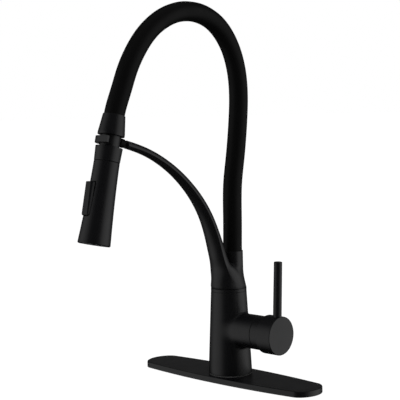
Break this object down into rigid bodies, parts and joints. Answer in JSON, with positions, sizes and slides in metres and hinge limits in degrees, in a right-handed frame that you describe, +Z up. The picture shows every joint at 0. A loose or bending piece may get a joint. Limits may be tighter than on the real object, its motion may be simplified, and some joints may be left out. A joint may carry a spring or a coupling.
{
  "type": "single-lever pull-down kitchen faucet",
  "caption": "Single-lever faucet on an oblong deck plate, with a hose arch on a slim curved arm, a side-entry dock clip and a pull-off spray head with a rocker button.",
  "frame": {"origin": "the column's axis at the deck plate's underside, where the faucet sits on the deck", "axes": "+Z up; the spout reaches towards -Y, the user's side; the lever hub points along +X"},
  "size_m": [0.25, 0.2531, 0.4784],
  "materials": {
    "matte_black_metal": "matte black powder coat",
    "black_sleeve": "satin silicone",
    "black_rubber": "soft matte",
    "black_plastic": "fine satin",
    "brass": "turned",
    "steel": "turned",
    "ceramic": "polished ceramic",
    "white_plastic": "moulded"
  },
  "bodies": {
    "base": {"deck_plate": "matte_black_metal", "plate_insert": "black_plastic", "plate_gasket": "black_rubber", "column_gasket": "black_rubber", "column": "matte_black_metal", "column_horn": "matte_black_metal", "shank": "brass", "bonnet_ring": "matte_black_metal", "cartridge_nut": "brass", "cartridge_body": "white_plastic", "cartridge_seals": "black_rubber", "fixed_disc": "ceramic", "swivel_spigot": "brass", "spigot_o_ring": "black_rubber", "swivel_ring": "matte_black_metal"},
    "under_deck_nut": {"rubber_washer": "black_rubber", "steel_washer": "steel", "mounting_nut": "brass"},
    "cartridge_turn": {"cartridge_rotor": "white_plastic", "stem_pin": "steel"},
    "handle": {"cartridge_stem": "steel", "handle_hub": "matte_black_metal", "lever_rod": "matte_black_metal", "handle_screw": "steel"},
    "mixing_disc": {"moving_disc": "ceramic"},
    "spout": {"swivel_bush": "white_plastic", "swivel_screw": "steel", "spout": "matte_black_metal", "socket_nipple": "brass", "socket_ferrule": "steel", "dock_stem": "black_plastic", "dock_clip": "matte_black_metal", "dock_screw": "steel"},
    "hose_end": {"hose_sleeve": "black_sleeve", "water_hose": "white_plastic", "hose_connector": "matte_black_metal", "head_nipple": "brass", "head_ferrule": "steel", "spray_neck": "matte_black_metal", "neck_o_ring": "black_rubber", "check_valve": "white_plastic", "inlet_washer": "black_rubber"},
    "spray_head": {"spray_collar": "matte_black_metal", "spray_shell": "matte_black_metal", "spray_core": "black_plastic", "spray_face": "black_plastic", "spray_nozzles": "black_rubber", "aerator": "steel", "button_pin": "steel"},
    "button": {"spray_button": "black_plastic"},
    "diverter": {"diverter_plunger": "white_plastic"}
  },
  "joints": [
    {"name": "nut_travel", "type": "slide", "parent": "base", "child": "under_deck_nut", "axis": [0, 0, 1], "range_m": [0, 0.025]},
    {"name": "handle_turn", "type": "hinge", "parent": "base", "child": "cartridge_turn", "pos_m": [0.033, 0, 0.059], "axis": [1, 0, 0], "range_deg": [-45, 45]},
    {"name": "handle_lift", "type": "hinge", "parent": "cartridge_turn", "child": "handle", "pos_m": [0.033, 0, 0.059], "axis": [0, 1, 0], "range_deg": [0, 18]},
    {"name": "disc_slide", "type": "slide", "parent": "cartridge_turn", "child": "mixing_disc", "axis": [0, 0, 1], "range_m": [0, 0.0024]},
    {"name": "spout_swivel", "type": "hinge", "parent": "base", "child": "spout", "pos_m": [0, 0, 0.106], "axis": [0, 0, 1], "continuous": true},
    {"name": "head_pull_out", "type": "slide", "parent": "spout", "child": "hose_end", "axis": [1, 0, 0], "range_m": [0, 0.06], "deforming": ["hose_sleeve", "water_hose"]},
    {"name": "head_spin", "type": "hinge", "parent": "hose_end", "child": "spray_head", "pos_m": [0, -0.2029, 0.17775], "axis": [0, 0.2487, 0.9686], "continuous": true},
    {"name": "button_rock", "type": "hinge", "parent": "spray_head", "child": "button", "pos_m": [-0.00346, -0.20195, 0.22427], "axis": [-0.9511, 0.2993, -0.0768], "range_deg": [0, 5]},
    {"name": "plunger_slide", "type": "slide", "parent": "spray_head", "child": "diverter", "axis": [0.309, 0.9212, -0.2365], "range_m": [0, 0.0011]}
  ],
  "couplings": [
    {"joint": "disc_slide", "follows": "handle_lift", "m_per_rad": 0.0076},
    {"joint": "plunger_slide", "follows": "button_rock", "m_per_rad": 0.012}
  ]
}
